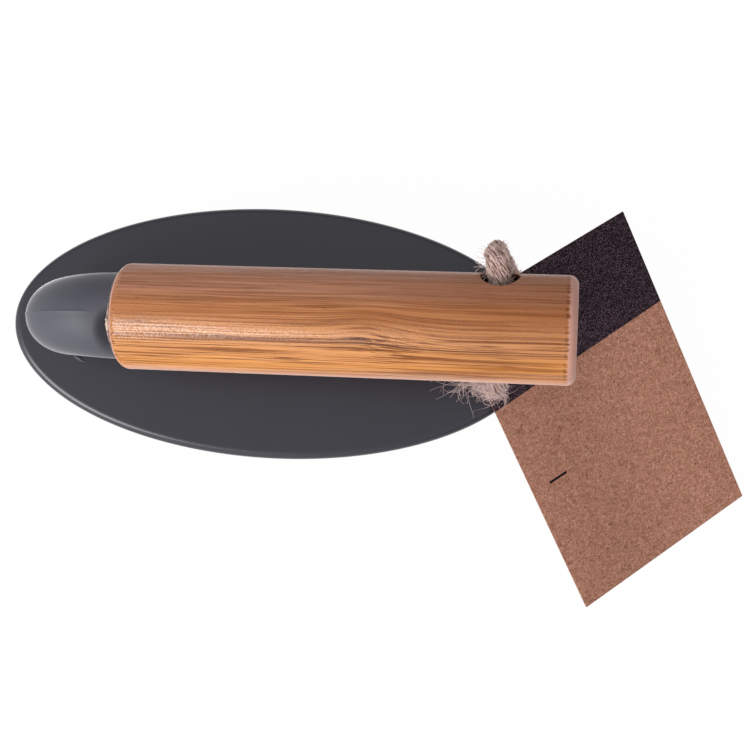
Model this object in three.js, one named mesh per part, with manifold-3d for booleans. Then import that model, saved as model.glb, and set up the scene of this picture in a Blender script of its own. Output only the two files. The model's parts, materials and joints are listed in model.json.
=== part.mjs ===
// Hand scrubbing brush: an oval moulded block with a bristle field underneath, a neck that rises from its
// nose end, a bamboo handle that runs back over the block, and a jute hang loop that carries a kraft card.
// Millimetres, +Z up, +X along the block from the neck end to the hanging end.
// The bristle tips stand on z = 0, and the origin lies under the middle of block and handle.

import * as THREE from 'three';
import { mergeVertices } from 'three/addons/utils/BufferGeometryUtils.js';
import ManifoldModule from 'manifold-3d';

const wasm = await ManifoldModule();
wasm.setup();

const degrees = Math.PI / 180;

// Gap between pieces that touch on the real brush.
const fitGap = 0.3;

// Block
const blockLength = 151;
const blockWidth = 71.6;
const blockThickness = 10;
const blockEdgeRadius = 2.1;

// Bristle field
const bristleLength = 28;
const fieldInset = 5;
const backingThickness = 2.4;
const strandPitch = 4.2;
const strandRadius = 1.05;
const strandEdgeMargin = 2;
const strandRoot = 0.8;
const strandSplay = 1.05;
const innerRows = 3;

// Neck
const neckSetback = 23.2;
const neckBaseHalfLength = 14.8;
const neckBaseHalfWidth = 9;
const neckBendHalfThickness = 12.7;
const neckBendHalfWidth = 10;
const neckCollarRadius = 11.2;
const neckCollarLength = 3;
const neckFullness = 2.15;
const neckFlare = 0.4;
const neckFlareHeight = 5;
const neckRoot = 2;
const spigotDiameter = 15;
const spigotLength = 22;

// Handle
const handleDiameter = 27.5;
const handleLength = 117;
const handleEdgeRadius = 2.4;
const handleTilt = 6.1 * degrees;
const handleYaw = 0.7 * degrees;
const handleReach = 16.5;
const handleHeight = 34.3;
const boreEndClearance = 0.8;
const hangHoleDiameter = 10;
const hangHoleFromEnd = 19.3;
const hangHoleIncline = 24 * degrees;

// Glue squeezed out round the collar
const glueBeadSize = 1.5;

// Hang loop: its route is given from the middle of the hang hole.
const twineDiameter = 6.4;
const twineRoute = [
  [-1.1, -12.0, -16.8], [0.1, -13.6, -12.6], [0.7, -13.9, -9.5], [0.6, -11.9, -7.0], [0.3, -6.7, -4.5],
  [-0.3, 0.5, -1.1], [-0.2, 7.9, 1.9], [-0.8, 13.0, 4.0], [-1.4, 15.9, 4.2], [-1.8, 18.1, 2.5],
  [-1.6, 19.0, -0.5], [-0.2, 17.0, -5.9], [1.2, 15.7, -12.1], [2.5, 15.4, -19.9], [2.5, 17.8, -29.1],
  [2.2, 20.8, -39.1], [2.5, 22.6, -47.9], [3.7, 21.4, -53.9], [6.9, 18.4, -55.0], [12.1, 16.1, -50.9],
  [17.0, 14.0, -44.3], [19.0, 10.9, -37.7], [18.6, 6.0, -32.3], [16.4, 0.7, -27.9], [12.8, -4.2, -24.9],
  [8.4, -8.0, -22.9], [3.7, -9.4, -22.2],
];

// Knot and frayed ends
const knotCentre = [-1.8, -10.2, -22.0];
const knotRadius = 5.2;
const knotLobes = 3;
const knotLobeDepth = 0.4;
const tailLength = 7;
const tailRadius = 2.2;
const tailFrayRadius = 3.2;
const tailDirections = [[-0.75, 0.45, -0.48], [-0.2, -0.35, -0.91]];

// Kraft card, leaning on the tip of the block
const cardWidth = 62.8;
const cardHeight = 97.4;
const cardThickness = 0.6;
const cardHoleDiameter = 8.8;
const cardHoleMargin = 10;
const cardRestGap = 0.4;
const cardSlope = 26.3 * degrees;
const cardLeanAzimuth = -11.8 * degrees;
const cardSpin = 44 * degrees;
const cardHoleBeyondTip = 2.7;
const cardHoleOffset = 15.4;

// Facets, and how far a cutting tool reaches past the face that it opens
const cutOvershoot = 2;
const ovalSegments = 44;
const edgeSteps = 4;
const roundSegments = 40;
const holeSegments = 24;
const neckRingPoints = 32;
const neckFlareRings = 3;
const neckBendRings = 9;
const twineSteps = 72;
const twineSides = 10;
const knotSegments = 24;
const knotRings = 14;

// Places that follow from the sizes
const blockBottom = bristleLength;
const blockTop = bristleLength + blockThickness;
const blockHalfLength = blockLength / 2;
const blockHalfWidth = blockWidth / 2;
const handleRadius = handleDiameter / 2;
const twineRadius = twineDiameter / 2;

const plastic = new THREE.MeshStandardMaterial({ color: 0x44444b, roughness: 0.45, metalness: 0 });
const bristle = new THREE.MeshStandardMaterial({ color: 0x54545a, roughness: 0.6, metalness: 0 });
const bamboo = new THREE.MeshStandardMaterial({ color: 0xa66b43, roughness: 0.5, metalness: 0 });
const glue = new THREE.MeshStandardMaterial({ color: 0xc9b49a, roughness: 0.4, metalness: 0 });
const jute = new THREE.MeshStandardMaterial({ color: 0xaa9187, roughness: 0.95, metalness: 0 });
const kraft = new THREE.MeshStandardMaterial({ color: 0xa6755f, roughness: 0.9, metalness: 0 });

// A closed geometry becomes a solid that can be joined and cut.
function solidOf(geometry) {
  const bare = geometry.clone();
  bare.deleteAttribute('normal');
  bare.deleteAttribute('uv');
  const merged = mergeVertices(bare, 1e-4);
  return new wasm.Manifold(new wasm.Mesh({
    numProp: 3,
    vertProperties: new Float32Array(merged.attributes.position.array),
    triVerts: new Uint32Array(merged.index.array),
  }));
}

function geometryOf(solid) {
  const mesh = solid.getMesh();
  const geometry = new THREE.BufferGeometry();
  geometry.setAttribute('position', new THREE.BufferAttribute(new Float32Array(mesh.vertProperties), 3));
  geometry.setIndex(new THREE.BufferAttribute(new Uint32Array(mesh.triVerts), 1));
  geometry.computeVertexNormals();
  return geometry;
}

function named(name, geometry, material) {
  const mesh = new THREE.Mesh(geometry, material);
  mesh.name = name;
  return mesh;
}

function ovalShape(halfLength, halfWidth) {
  const outline = new THREE.Shape();
  outline.absellipse(0, 0, halfLength, halfWidth, 0, 2 * Math.PI);
  return outline;
}

function slab(shape, bottom, thickness) {
  const geometry = new THREE.ExtrudeGeometry(shape, {
    depth: thickness,
    bevelEnabled: false,
    curveSegments: ovalSegments,
  });
  return geometry.translate(0, 0, bottom);
}

// Rings of points, each counter-clockwise seen from the far end, closed into one skin.
function loft(rings) {
  const count = rings[0].length;
  const points = rings.flat();
  const index = [];
  for (let i = 0; i + 1 < rings.length; i += 1) {
    for (let j = 0; j < count; j += 1) {
      const next = (j + 1) % count;
      const a = i * count + j;
      const b = i * count + next;
      index.push(a, b, b + count, a, b + count, a + count);
    }
  }
  const last = points.length - count;
  for (let j = 1; j + 1 < count; j += 1) {
    index.push(0, j + 1, j, last, last + j, last + j + 1);
  }
  const geometry = new THREE.BufferGeometry().setFromPoints(points);
  geometry.setIndex(index);
  return geometry;
}

// A turned body about +X, from a profile of (radius, distance along X).
function turned(profile, segments) {
  const points = profile.map(([radius, along]) => new THREE.Vector2(radius, along));
  return new THREE.LatheGeometry(points, segments).rotateZ(-Math.PI / 2);
}

function roundedEdge(centreRadius, centreAlong, edge, fromAngle, toAngle) {
  return Array.from({ length: edgeSteps + 1 }, (_, i) => {
    const angle = fromAngle + ((toAngle - fromAngle) * i) / edgeSteps;
    return [centreRadius + edge * Math.cos(angle), centreAlong + edge * Math.sin(angle)];
  });
}

function rod(radius, from, to, segments) {
  return turned([[0, from], [radius, from], [radius, to], [0, to]], segments);
}

// Block: an oval slab with rounded rims, hollowed below for the backing of the bristles.
function blockSolid() {
  const body = new THREE.ExtrudeGeometry(ovalShape(blockHalfLength, blockHalfWidth), {
    depth: blockThickness - 2 * blockEdgeRadius,
    bevelEnabled: true,
    bevelThickness: blockEdgeRadius,
    bevelSize: blockEdgeRadius,
    bevelOffset: -blockEdgeRadius,
    bevelSegments: edgeSteps,
    curveSegments: ovalSegments,
  }).translate(0, 0, blockBottom + blockEdgeRadius);
  const recessInset = fieldInset - fitGap;
  const recess = slab(
    ovalShape(blockHalfLength - recessInset, blockHalfWidth - recessInset),
    blockBottom - cutOvershoot,
    cutOvershoot + backingThickness + fitGap,
  );
  return solidOf(body).subtract(solidOf(recess));
}

// Section of the neck, square to its path in the XZ plane.
// A fullness of 2 is an ellipse, and more is squarer.
function neckRing(x, z, heading, halfThickness, halfWidth, fullness) {
  const across = new THREE.Vector3(Math.sin(heading), 0, -Math.cos(heading));
  return Array.from({ length: neckRingPoints }, (_, i) => {
    const angle = (2 * Math.PI * i) / neckRingPoints;
    const swell = (value) => Math.sign(value) * Math.abs(value) ** (2 / fullness);
    const point = across.clone().multiplyScalar(halfThickness * swell(Math.cos(angle)));
    return point.add(new THREE.Vector3(x, halfWidth * swell(Math.sin(angle)), z));
  });
}

// Neck: straight up from the block, then round a bend into the axis of the handle.
function neckGeometry() {
  const seat = neckCollarLength + fitGap;
  const bendRadius = (handleReach - seat * Math.cos(handleTilt)) / (1 - Math.sin(handleTilt));
  const bendStart = handleHeight - seat * Math.sin(handleTilt) - bendRadius * Math.cos(handleTilt);
  const upright = Math.PI / 2;
  const ellipse = 2;
  const rings = [];
  const leg = (height, flare) => rings.push(
    neckRing(0, height, upright, neckBaseHalfLength + flare, neckBaseHalfWidth + flare, neckFullness),
  );
  leg(-neckRoot, neckFlare);
  for (let i = 0; i <= neckFlareRings; i += 1) {
    const share = i / neckFlareRings;
    leg(neckFlareHeight * share, neckFlare * (1 - share) ** 2);
  }
  const turn = upright - handleTilt;
  for (let i = 0; i <= neckBendRings; i += 1) {
    const share = i / neckBendRings;
    const angle = turn * share;
    rings.push(neckRing(
      bendRadius * (1 - Math.cos(angle)),
      bendStart + bendRadius * Math.sin(angle),
      upright - angle,
      THREE.MathUtils.lerp(neckBendHalfThickness, neckCollarRadius, share),
      THREE.MathUtils.lerp(neckBendHalfWidth, neckCollarRadius, share),
      THREE.MathUtils.lerp(neckFullness, ellipse, share),
    ));
  }
  rings.push(neckRing(
    handleReach - fitGap * Math.cos(handleTilt),
    handleHeight - fitGap * Math.sin(handleTilt),
    handleTilt,
    neckCollarRadius,
    neckCollarRadius,
    ellipse,
  ));
  return loft(rings);
}

// Four slices of the backing, side by side across the block, each with its rows of strands.
function bristleSlice(fromRow, toRow) {
  const rowPitch = strandPitch * Math.sin(Math.PI / 3);
  const halfLength = blockHalfLength - fieldInset;
  const halfWidth = blockHalfWidth - fieldInset;
  const nearY = fromRow * rowPitch + fitGap / 2;
  const farY = Math.min(toRow * rowPitch, halfWidth + fitGap) - fitGap / 2;
  const cut = new THREE.BoxGeometry(blockLength, farY - nearY, blockThickness);
  cut.translate(0, (nearY + farY) / 2, blockBottom);
  const backing = slab(ovalShape(halfLength, halfWidth), blockBottom, backingThickness);
  let slice = solidOf(backing).intersect(solidOf(cut));

  const corners = [0, 1, 2].map((i) => new THREE.Vector2(strandRadius, 0).rotateAround(
    new THREE.Vector2(),
    (2 * Math.PI * i) / 3,
  ));
  const strand = slab(new THREE.Shape(corners), 0, bristleLength + strandRoot);
  for (let row = fromRow; row < toRow; row += 1) {
    const y = (row + 0.5) * rowPitch;
    const room = 1 - (y / (halfWidth - strandEdgeMargin)) ** 2;
    const reach = (halfLength - strandEdgeMargin) * Math.sqrt(Math.max(room, 0)) - strandPitch / 4;
    const shift = row % 2 === 0 ? 0 : strandPitch / 2;
    for (let k = Math.ceil((-reach - shift) / strandPitch); k * strandPitch + shift <= reach; k += 1) {
      const x = k * strandPitch + shift;
      const lean = new THREE.Matrix4().makeShear(
        0, 0, 0, 0, (x * (1 - strandSplay)) / bristleLength, (y * (1 - strandSplay)) / bristleLength,
      );
      const place = new THREE.Matrix4().makeTranslation(x * strandSplay, y * strandSplay, 0);
      slice = slice.add(solidOf(strand.clone().applyMatrix4(place.multiply(lean))));
    }
  }
  return slice;
}

// Handle: a turned rod along +X with a blind bore for the spigot and an inclined cross hole.
function handleGeometry() {
  const flat = handleRadius - handleEdgeRadius;
  const body = turned([
    [0, 0],
    ...roundedEdge(flat, handleEdgeRadius, handleEdgeRadius, -Math.PI / 2, 0),
    ...roundedEdge(flat, handleLength - handleEdgeRadius, handleEdgeRadius, 0, Math.PI / 2),
    [0, handleLength],
  ], roundSegments);
  const boreDepth = spigotLength + boreEndClearance;
  const bore = rod(spigotDiameter / 2 + fitGap, -cutOvershoot, boreDepth, holeSegments);
  const hole = new THREE.CylinderGeometry(
    hangHoleDiameter / 2, hangHoleDiameter / 2, 2 * handleDiameter, holeSegments,
  );
  hole.rotateX(hangHoleIncline).translate(handleLength - hangHoleFromEnd, 0, 0);
  return geometryOf(solidOf(body).subtract(solidOf(bore)).subtract(solidOf(hole)));
}

// Glue: a concave fillet between the collar and the end of the handle.
function glueGeometry() {
  const inner = neckCollarRadius + fitGap;
  const face = -fitGap;
  const fillet = roundedEdge(inner + glueBeadSize, face - glueBeadSize, glueBeadSize, Math.PI / 2, Math.PI);
  return turned([[inner, face], ...fillet.reverse(), [inner, face]], roundSegments);
}

function twineGeometry() {
  const route = new THREE.CatmullRomCurve3(twineRoute.map((point) => new THREE.Vector3(...point)));
  const section = new THREE.Shape();
  section.absarc(0, 0, twineRadius, 0, 2 * Math.PI);
  return new THREE.ExtrudeGeometry(section, {
    steps: twineSteps,
    extrudePath: route,
    curveSegments: twineSides / 2,
  });
}

// Knot: a ball with the lobes of an overhand knot.
function knotGeometry() {
  const geometry = new THREE.SphereGeometry(knotRadius, knotSegments, knotRings);
  const position = geometry.attributes.position;
  const point = new THREE.Vector3();
  for (let i = 0; i < position.count; i += 1) {
    point.fromBufferAttribute(position, i);
    const around = Math.atan2(point.z, point.x);
    const equator = 1 - (point.y / knotRadius) ** 2;
    point.multiplyScalar(1 - (knotLobeDepth / knotRadius) * (1 - Math.cos(knotLobes * around)) * equator);
    position.setXYZ(i, point.x, point.y, point.z);
  }
  return geometry;
}

// Frayed end: it leaves the knot as twine and opens out.
function tailGeometry() {
  const start = knotRadius + fitGap;
  return turned([
    [0, start],
    [tailRadius, start],
    [tailRadius, start + tailLength / 2],
    [tailFrayRadius, start + tailLength],
    [0, start + tailLength],
  ], twineSides);
}

// Card: its local origin is the middle of its hole, +Y towards its top edge.
function cardGeometry() {
  const halfWidth = cardWidth / 2;
  const low = cardHoleMargin - cardHeight;
  const outline = new THREE.Shape([
    new THREE.Vector2(-halfWidth, low),
    new THREE.Vector2(halfWidth, low),
    new THREE.Vector2(halfWidth, cardHoleMargin),
    new THREE.Vector2(-halfWidth, cardHoleMargin),
  ]);
  const hole = new THREE.Path();
  hole.absarc(0, 0, cardHoleDiameter / 2, 0, 2 * Math.PI, true);
  outline.holes.push(hole);
  const geometry = new THREE.ExtrudeGeometry(outline, {
    depth: cardThickness,
    bevelEnabled: false,
    curveSegments: holeSegments,
  });
  return geometry.translate(0, 0, -cardThickness / 2);
}

// The card's plane lies on the rounded rim of the block: its distance from the origin along its normal
// is the furthest that the rim reaches in that direction.
function cardPlace() {
  const normal = new THREE.Vector3(
    Math.sin(cardSlope) * Math.cos(cardLeanAzimuth),
    Math.sin(cardSlope) * Math.sin(cardLeanAzimuth),
    Math.cos(cardSlope),
  );
  const rimReach = Math.hypot(blockHalfLength * normal.x, blockHalfWidth * normal.y)
    - blockEdgeRadius * Math.hypot(normal.x, normal.y)
    + (blockTop - blockEdgeRadius) * normal.z
    + blockEdgeRadius;
  const distance = rimReach + cardRestGap + cardThickness / 2;
  const x = blockHalfLength + cardHoleBeyondTip;
  const z = (distance - x * normal.x - cardHoleOffset * normal.y) / normal.z;
  return new THREE.Vector3(x, cardHoleOffset, z);
}

const brush = new THREE.Group();

// The neck and the handle stand on the block with the small yaw of the glued joint.
const grip = new THREE.Group();
grip.position.set(neckSetback - blockHalfLength, 0, blockTop);
grip.rotation.z = handleYaw;
const handleFrame = new THREE.Group();
handleFrame.position.set(handleReach, 0, handleHeight);
handleFrame.rotation.y = -handleTilt;
grip.add(handleFrame);
brush.add(grip);
brush.updateMatrixWorld(true);

const neck = neckGeometry().applyMatrix4(grip.matrixWorld);
const spigot = rod(spigotDiameter / 2, -neckCollarLength, spigotLength, holeSegments);
spigot.applyMatrix4(handleFrame.matrixWorld);
const head = geometryOf(blockSolid().add(solidOf(neck)).add(solidOf(spigot)));
const rigid = [named('head_moulding', head, plastic)];

const outerRows = Math.ceil((blockHalfWidth - fieldInset) / (strandPitch * Math.sin(Math.PI / 3)));
const sliceRows = [[-outerRows, -innerRows], [-innerRows, 0], [0, innerRows], [innerRows, outerRows]];
sliceRows.forEach(([fromRow, toRow], i) => {
  rigid.push(named(`bristles_${i + 1}`, geometryOf(bristleSlice(fromRow, toRow)), bristle));
});
brush.add(...rigid);

const handle = named('bamboo_handle', handleGeometry(), bamboo);
handleFrame.add(handle, named('glue_bead', glueGeometry(), glue));

const loop = new THREE.Group();
brush.updateMatrixWorld(true);
loop.position.copy(handleFrame.localToWorld(new THREE.Vector3(handleLength - hangHoleFromEnd, 0, 0)));
loop.add(named('twine_loop', twineGeometry(), jute));
const knot = new THREE.Group();
knot.position.set(...knotCentre);
knot.add(named('twine_knot', knotGeometry(), jute));
tailDirections.forEach((direction, i) => {
  const tail = named(`twine_tail_${i + 1}`, tailGeometry(), jute);
  const heading = new THREE.Vector3(...direction).normalize();
  tail.quaternion.setFromUnitVectors(new THREE.Vector3(1, 0, 0), heading);
  knot.add(tail);
});
loop.add(knot);
brush.add(loop);

const lean = new THREE.Group();
lean.position.copy(cardPlace());
lean.rotation.set(0, cardSlope, cardLeanAzimuth, 'ZYX');
const card = named('hang_tag', cardGeometry(), kraft);
card.rotation.z = cardSpin;
lean.add(card);
brush.add(lean);

// The origin goes under the middle of block and handle.
brush.updateMatrixWorld(true);
const box = new THREE.Box3();
[...rigid, handle].forEach((mesh) => box.expandByObject(mesh, true));
const middle = box.getCenter(new THREE.Vector3());
brush.position.set(-middle.x, -middle.y, 0);

export default brush;
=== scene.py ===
# Hand scrubbing brush with a bamboo handle, a jute hang loop and a kraft card.

import json
import math
import random

import bmesh
import bpy
from mathutils import Matrix, Vector, noise


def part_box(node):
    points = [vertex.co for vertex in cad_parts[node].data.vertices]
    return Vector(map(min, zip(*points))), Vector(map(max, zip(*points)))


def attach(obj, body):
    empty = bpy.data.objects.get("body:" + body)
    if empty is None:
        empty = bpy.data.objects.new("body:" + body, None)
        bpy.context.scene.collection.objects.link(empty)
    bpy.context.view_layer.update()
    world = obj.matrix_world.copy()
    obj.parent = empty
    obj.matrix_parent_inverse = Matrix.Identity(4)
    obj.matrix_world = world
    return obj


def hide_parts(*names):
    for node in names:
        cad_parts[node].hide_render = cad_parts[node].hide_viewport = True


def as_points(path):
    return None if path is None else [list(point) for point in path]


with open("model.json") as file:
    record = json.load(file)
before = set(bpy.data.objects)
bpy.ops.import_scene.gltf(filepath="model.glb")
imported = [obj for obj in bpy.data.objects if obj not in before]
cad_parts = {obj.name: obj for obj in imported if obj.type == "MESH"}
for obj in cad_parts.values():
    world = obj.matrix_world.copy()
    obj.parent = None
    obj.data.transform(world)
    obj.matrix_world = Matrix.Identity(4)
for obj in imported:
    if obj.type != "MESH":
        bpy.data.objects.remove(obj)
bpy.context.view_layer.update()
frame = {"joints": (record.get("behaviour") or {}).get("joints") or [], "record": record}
print("frame loaded")

mm = 0.001
level = 0.1 * mm

# camera: nearly straight down on the brush, a little to the right of its middle
camera = {
    "eye": (0.04003, -0.02392, 0.41599),
    "turn": (0.0377, 0.0347, 0.0558),
    "lens": 63.87,
    "sensor": 36,
    "nearClip": 0.01,
}


def placeCamera():
    bpy.ops.object.camera_add(location=camera["eye"], rotation=camera["turn"])
    shot = bpy.context.object
    shot.data.lens = camera["lens"]
    shot.data.sensor_width = camera["sensor"]
    shot.data.clip_start = camera["nearClip"]
    bpy.context.scene.camera = shot


placeCamera()
bpy.context.scene.view_settings.view_transform = "Standard"
print("camera placed")


# small helpers for modelling
def clearPicks():
    if bpy.context.mode != "OBJECT":
        bpy.ops.object.mode_set(mode="OBJECT")
    bpy.ops.object.select_all(action="DESELECT")


def takeUp(piece):
    clearPicks()
    piece.select_set(True)
    bpy.context.view_layer.objects.active = piece
    return piece


def editMesh(piece):
    takeUp(piece)
    bpy.ops.object.mode_set(mode="EDIT")
    return bmesh.from_edit_mesh(piece.data)


def pick(piece, kind, test):  # kind is FACE or EDGE
    bpy.ops.mesh.select_mode(type=kind)
    bpy.ops.mesh.select_all(action="DESELECT")
    mesh = bmesh.from_edit_mesh(piece.data)
    for part in mesh.faces if kind == "FACE" else mesh.edges:
        part.select_set(test(part))
    bmesh.update_edit_mesh(piece.data)


def cutAway(piece, tool):
    takeUp(piece)
    cut = piece.modifiers.new("hole", "BOOLEAN")
    cut.operation = "DIFFERENCE"
    cut.object = tool
    cut.solver = "EXACT"
    bpy.ops.object.modifier_apply(modifier=cut.name)
    bpy.data.objects.remove(tool)


def settle(piece, name):  # the place goes into the mesh
    takeUp(piece)
    piece.name = name
    piece.data.name = name
    bpy.ops.object.transform_apply(location=True, rotation=True, scale=True)
    return piece


def smoothShade(piece, angle):
    takeUp(piece)
    bpy.ops.object.shade_smooth_by_angle(angle=math.radians(angle))


def putDown(piece, place, angle):  # from its own frame, smooth up to an angle in degrees
    clearPicks()
    piece.matrix_world = place
    settle(piece, piece.name)
    smoothShade(piece, angle)
    return piece


def joinAll(pieces, name):
    clearPicks()
    for piece in pieces:
        piece.select_set(True)
    bpy.context.view_layer.objects.active = pieces[0]
    if len(pieces) > 1:
        bpy.ops.object.join()
    return settle(bpy.context.view_layer.objects.active, name)


def handOver(piece, body, slot, material, *nodes):
    piece.data.materials.clear()
    piece.data.materials.append(material)
    if nodes:
        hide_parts(*nodes)
    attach(piece, body)


# small helpers for materials
def shade(red, green, blue):  # a colour as it reads on screen, 0 to 255
    def linear(value):
        value /= 255
        return value / 12.92 if value <= 0.04045 else ((value + 0.055) / 1.055) ** 2.4

    return (linear(red), linear(green), linear(blue), 1.0)


def mathNode(operation, turned=False):
    def work(wire, other=0.0):
        first, second = (other, wire) if turned else (wire, other)
        return wire.finish.node("ShaderNodeMath", {"operation": operation}, {0: first, 1: second})

    return work


def between(first, last, share):
    return first + (last - first) * share


class Wire:  # a node's output that can be used in sums
    def __init__(self, finish, socket):
        self.finish = finish
        self.socket = socket

    __add__ = __radd__ = mathNode("ADD")
    __sub__ = mathNode("SUBTRACT")
    __rsub__ = mathNode("SUBTRACT", turned=True)
    __mul__ = __rmul__ = mathNode("MULTIPLY")
    __truediv__ = mathNode("DIVIDE")
    __pow__ = mathNode("POWER")
    __rpow__ = mathNode("POWER", turned=True)
    __abs__ = mathNode("ABSOLUTE")
    atLeast = mathNode("MAXIMUM")


class Nodes:  # the nodes of a material or of the world
    def __init__(self, owner):
        owner.use_nodes = True
        self.tree = owner.node_tree

    def node(self, kind, settings=None, sockets=None, output=0):
        made = self.tree.nodes.new(kind)
        for name, value in (settings or {}).items():
            setattr(made, name, value)
        for name, value in (sockets or {}).items():
            self.feed(made.inputs[name], value)
        return Wire(self, made.outputs[output])

    def feed(self, socket, value):
        if isinstance(value, Wire):
            self.tree.links.new(value.socket, socket)
        else:
            socket.default_value = value

    def split(self, spot):
        return [self.node("ShaderNodeSeparateXYZ", None, {0: spot}, axis) for axis in range(3)]

    def ramp(self, value, low, high):  # 0 below low, 1 above high
        span = {"Value": value, "From Min": low, "From Max": high}
        return self.node("ShaderNodeMapRange", {"interpolation_type": "SMOOTHSTEP"}, span)

    def seenDirectly(self):  # 1 for what the camera, a gloss or a glass sees
        straight, gloss, glass = [
            self.node("ShaderNodeLightPath", output=f"Is {kind} Ray")
            for kind in ("Camera", "Glossy", "Transmission")
        ]
        return straight.atLeast(gloss).atLeast(glass)


class Finish(Nodes):  # one material
    def __init__(self, name, fixed=None):
        self.material = bpy.data.materials.new(name)
        super().__init__(self.material)
        self.shader = self.tree.nodes["Principled BSDF"]
        for socket, value in (fixed or {}).items():
            self.shader.inputs[socket].default_value = value

    def place(self, location=(0, 0, 0), rotation=(0, 0, 0)):  # millimetres in the piece's own frame
        spot = self.node("ShaderNodeTexCoord", output="Object")
        where = {"Vector": spot, "Location": location, "Rotation": rotation, "Scale": (mm, mm, mm)}
        return self.node("ShaderNodeMapping", {"vector_type": "TEXTURE"}, where)

    def gather(self, x, y, z):
        return self.node("ShaderNodeCombineXYZ", None, {0: x, 1: y, 2: z})

    def stretch(self, spot, *scale):
        return self.node("ShaderNodeMapping", None, {"Vector": spot, "Scale": scale})

    def noise(self, spot, scale, detail=2.0, roughness=0.5):
        grain = {"Vector": spot, "Scale": scale, "Detail": detail, "Roughness": roughness}
        return self.node("ShaderNodeTexNoise", None, grain)

    def mix(self, share, first, second):
        return self.node("ShaderNodeMix", {"data_type": "RGBA"}, {0: share, 6: first, 7: second}, 2)

    def layer(self, tones, ground, *coats):  # each coat is a share and the name of a tone
        colour = tones[ground]
        for share, tone in coats:
            colour = self.mix(share, colour, tones[tone])
        return colour

    def bump(self, height, strength, distance):
        relief = {"Height": height, "Strength": strength, "Distance": distance}
        return self.node("ShaderNodeBump", None, relief)

    def dress(self, **sockets):
        names = {
            "colour": "Base Color", "roughness": "Roughness", "normal": "Normal", "coat": "Coat Weight",
        }
        for name, value in sockets.items():
            self.feed(self.shader.inputs[names[name]], value)
        return self.material


# where the handle lies: its own frame runs along +X from the neck end
handle = {
    "start": (-0.0389214, 0.0002016, 0.0723),
    "tilt": math.radians(6.1),
    "yaw": math.radians(0.7),
    "length": 0.117,
    "diameter": 0.0275,
    "edge": 0.0024, "edgeSteps": 8,
    "sides": 144,
    "holeDiameter": 0.010, "holeFromEnd": 0.0193, "holeIncline": math.radians(24),
    "holeEdge": 0.0004, "holeSides": 72,
    "cutPitch": 0.0012, "cutReach": 0.0075,
    "onMouth": 0.00003,
}
handleTurn = (0, -handle["tilt"], handle["yaw"])
handlePlace = (
    Matrix.Translation(handle["start"])
    @ Matrix.Rotation(handle["yaw"], 4, "Z")
    @ Matrix.Rotation(-handle["tilt"], 4, "Y")
)
hangHole = handlePlace @ Vector((handle["length"] - handle["holeFromEnd"], 0, 0))


# twine: three strands laid up, each of loose fibres, with hairs that stand off
twine = {
    "diameter": 0.0064,
    "route": [  # millimetres from the middle of the hang hole
        (-1.1, -12.0, -16.8), (0.1, -13.6, -12.6), (0.7, -13.9, -9.5), (0.6, -11.9, -7.0),
        (0.3, -6.7, -4.5), (-0.3, 0.5, -1.1), (-0.2, 7.9, 1.9), (-0.8, 13.0, 4.0),
        (-1.4, 15.9, 4.2), (-1.8, 18.1, 2.5), (-1.6, 19.0, -0.5), (-0.2, 17.0, -5.9),
        (1.2, 15.7, -12.1), (2.5, 15.4, -19.9), (2.5, 17.8, -29.1), (2.2, 20.8, -39.1),
        (2.5, 22.6, -47.9), (3.7, 21.4, -53.9), (6.9, 18.4, -55.0), (12.1, 16.1, -50.9),
        (17.0, 14.0, -44.3), (19.0, 10.9, -37.7), (18.6, 6.0, -32.3), (16.4, 0.7, -27.9),
        (12.8, -4.2, -24.9), (8.4, -8.0, -22.9), (3.7, -9.4, -22.2),
    ],
    "routeSteps": 12,
    "steps": 200,
    "strands": 3,
    "lay": 0.026,
    "strandOffset": 0.00090, "strandRadius": 0.00205,
    "fibres": 32,
    "fibreLay": 0.016, "fibreRadius": 0.00024, "fibreWander": 0.00022,
    "wanderLength": 0.004, "wanderTurn": 0.8, "wanderSeeds": 40,
    "strandSeed": 7.3,
    "thickVary": 0.35, "thickSteps": 9, "thickSeed": 3.1,
    "seed": 11,
}
knot = {
    "centre": (-1.8, -10.2, -22.0),
    "size": 0.00108,
    "rise": 0.0018,
    "scale": 0.62,
    "steps": 120,
    "axis": (0.35, 0.9, 0.25),
    "startAngle": 0.5,
}
tails = {
    "directions": [(-0.75, 0.45, -0.48), (-0.2, -0.35, -0.91)],
    "start": 0.0040,
    "length": 0.0086,
    "root": 0.0018,
    "spread": 0.0014,
    "fibres": 60,
    "fibreRadius": 0.00016,
    "lengthShare": (0.45, 1.0),
    "thickShare": (0.6, 1.2),
    "curl": 0.0009,
    "waves": 6,
    "taper": 0.7,
    "steps": 10,
}
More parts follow.
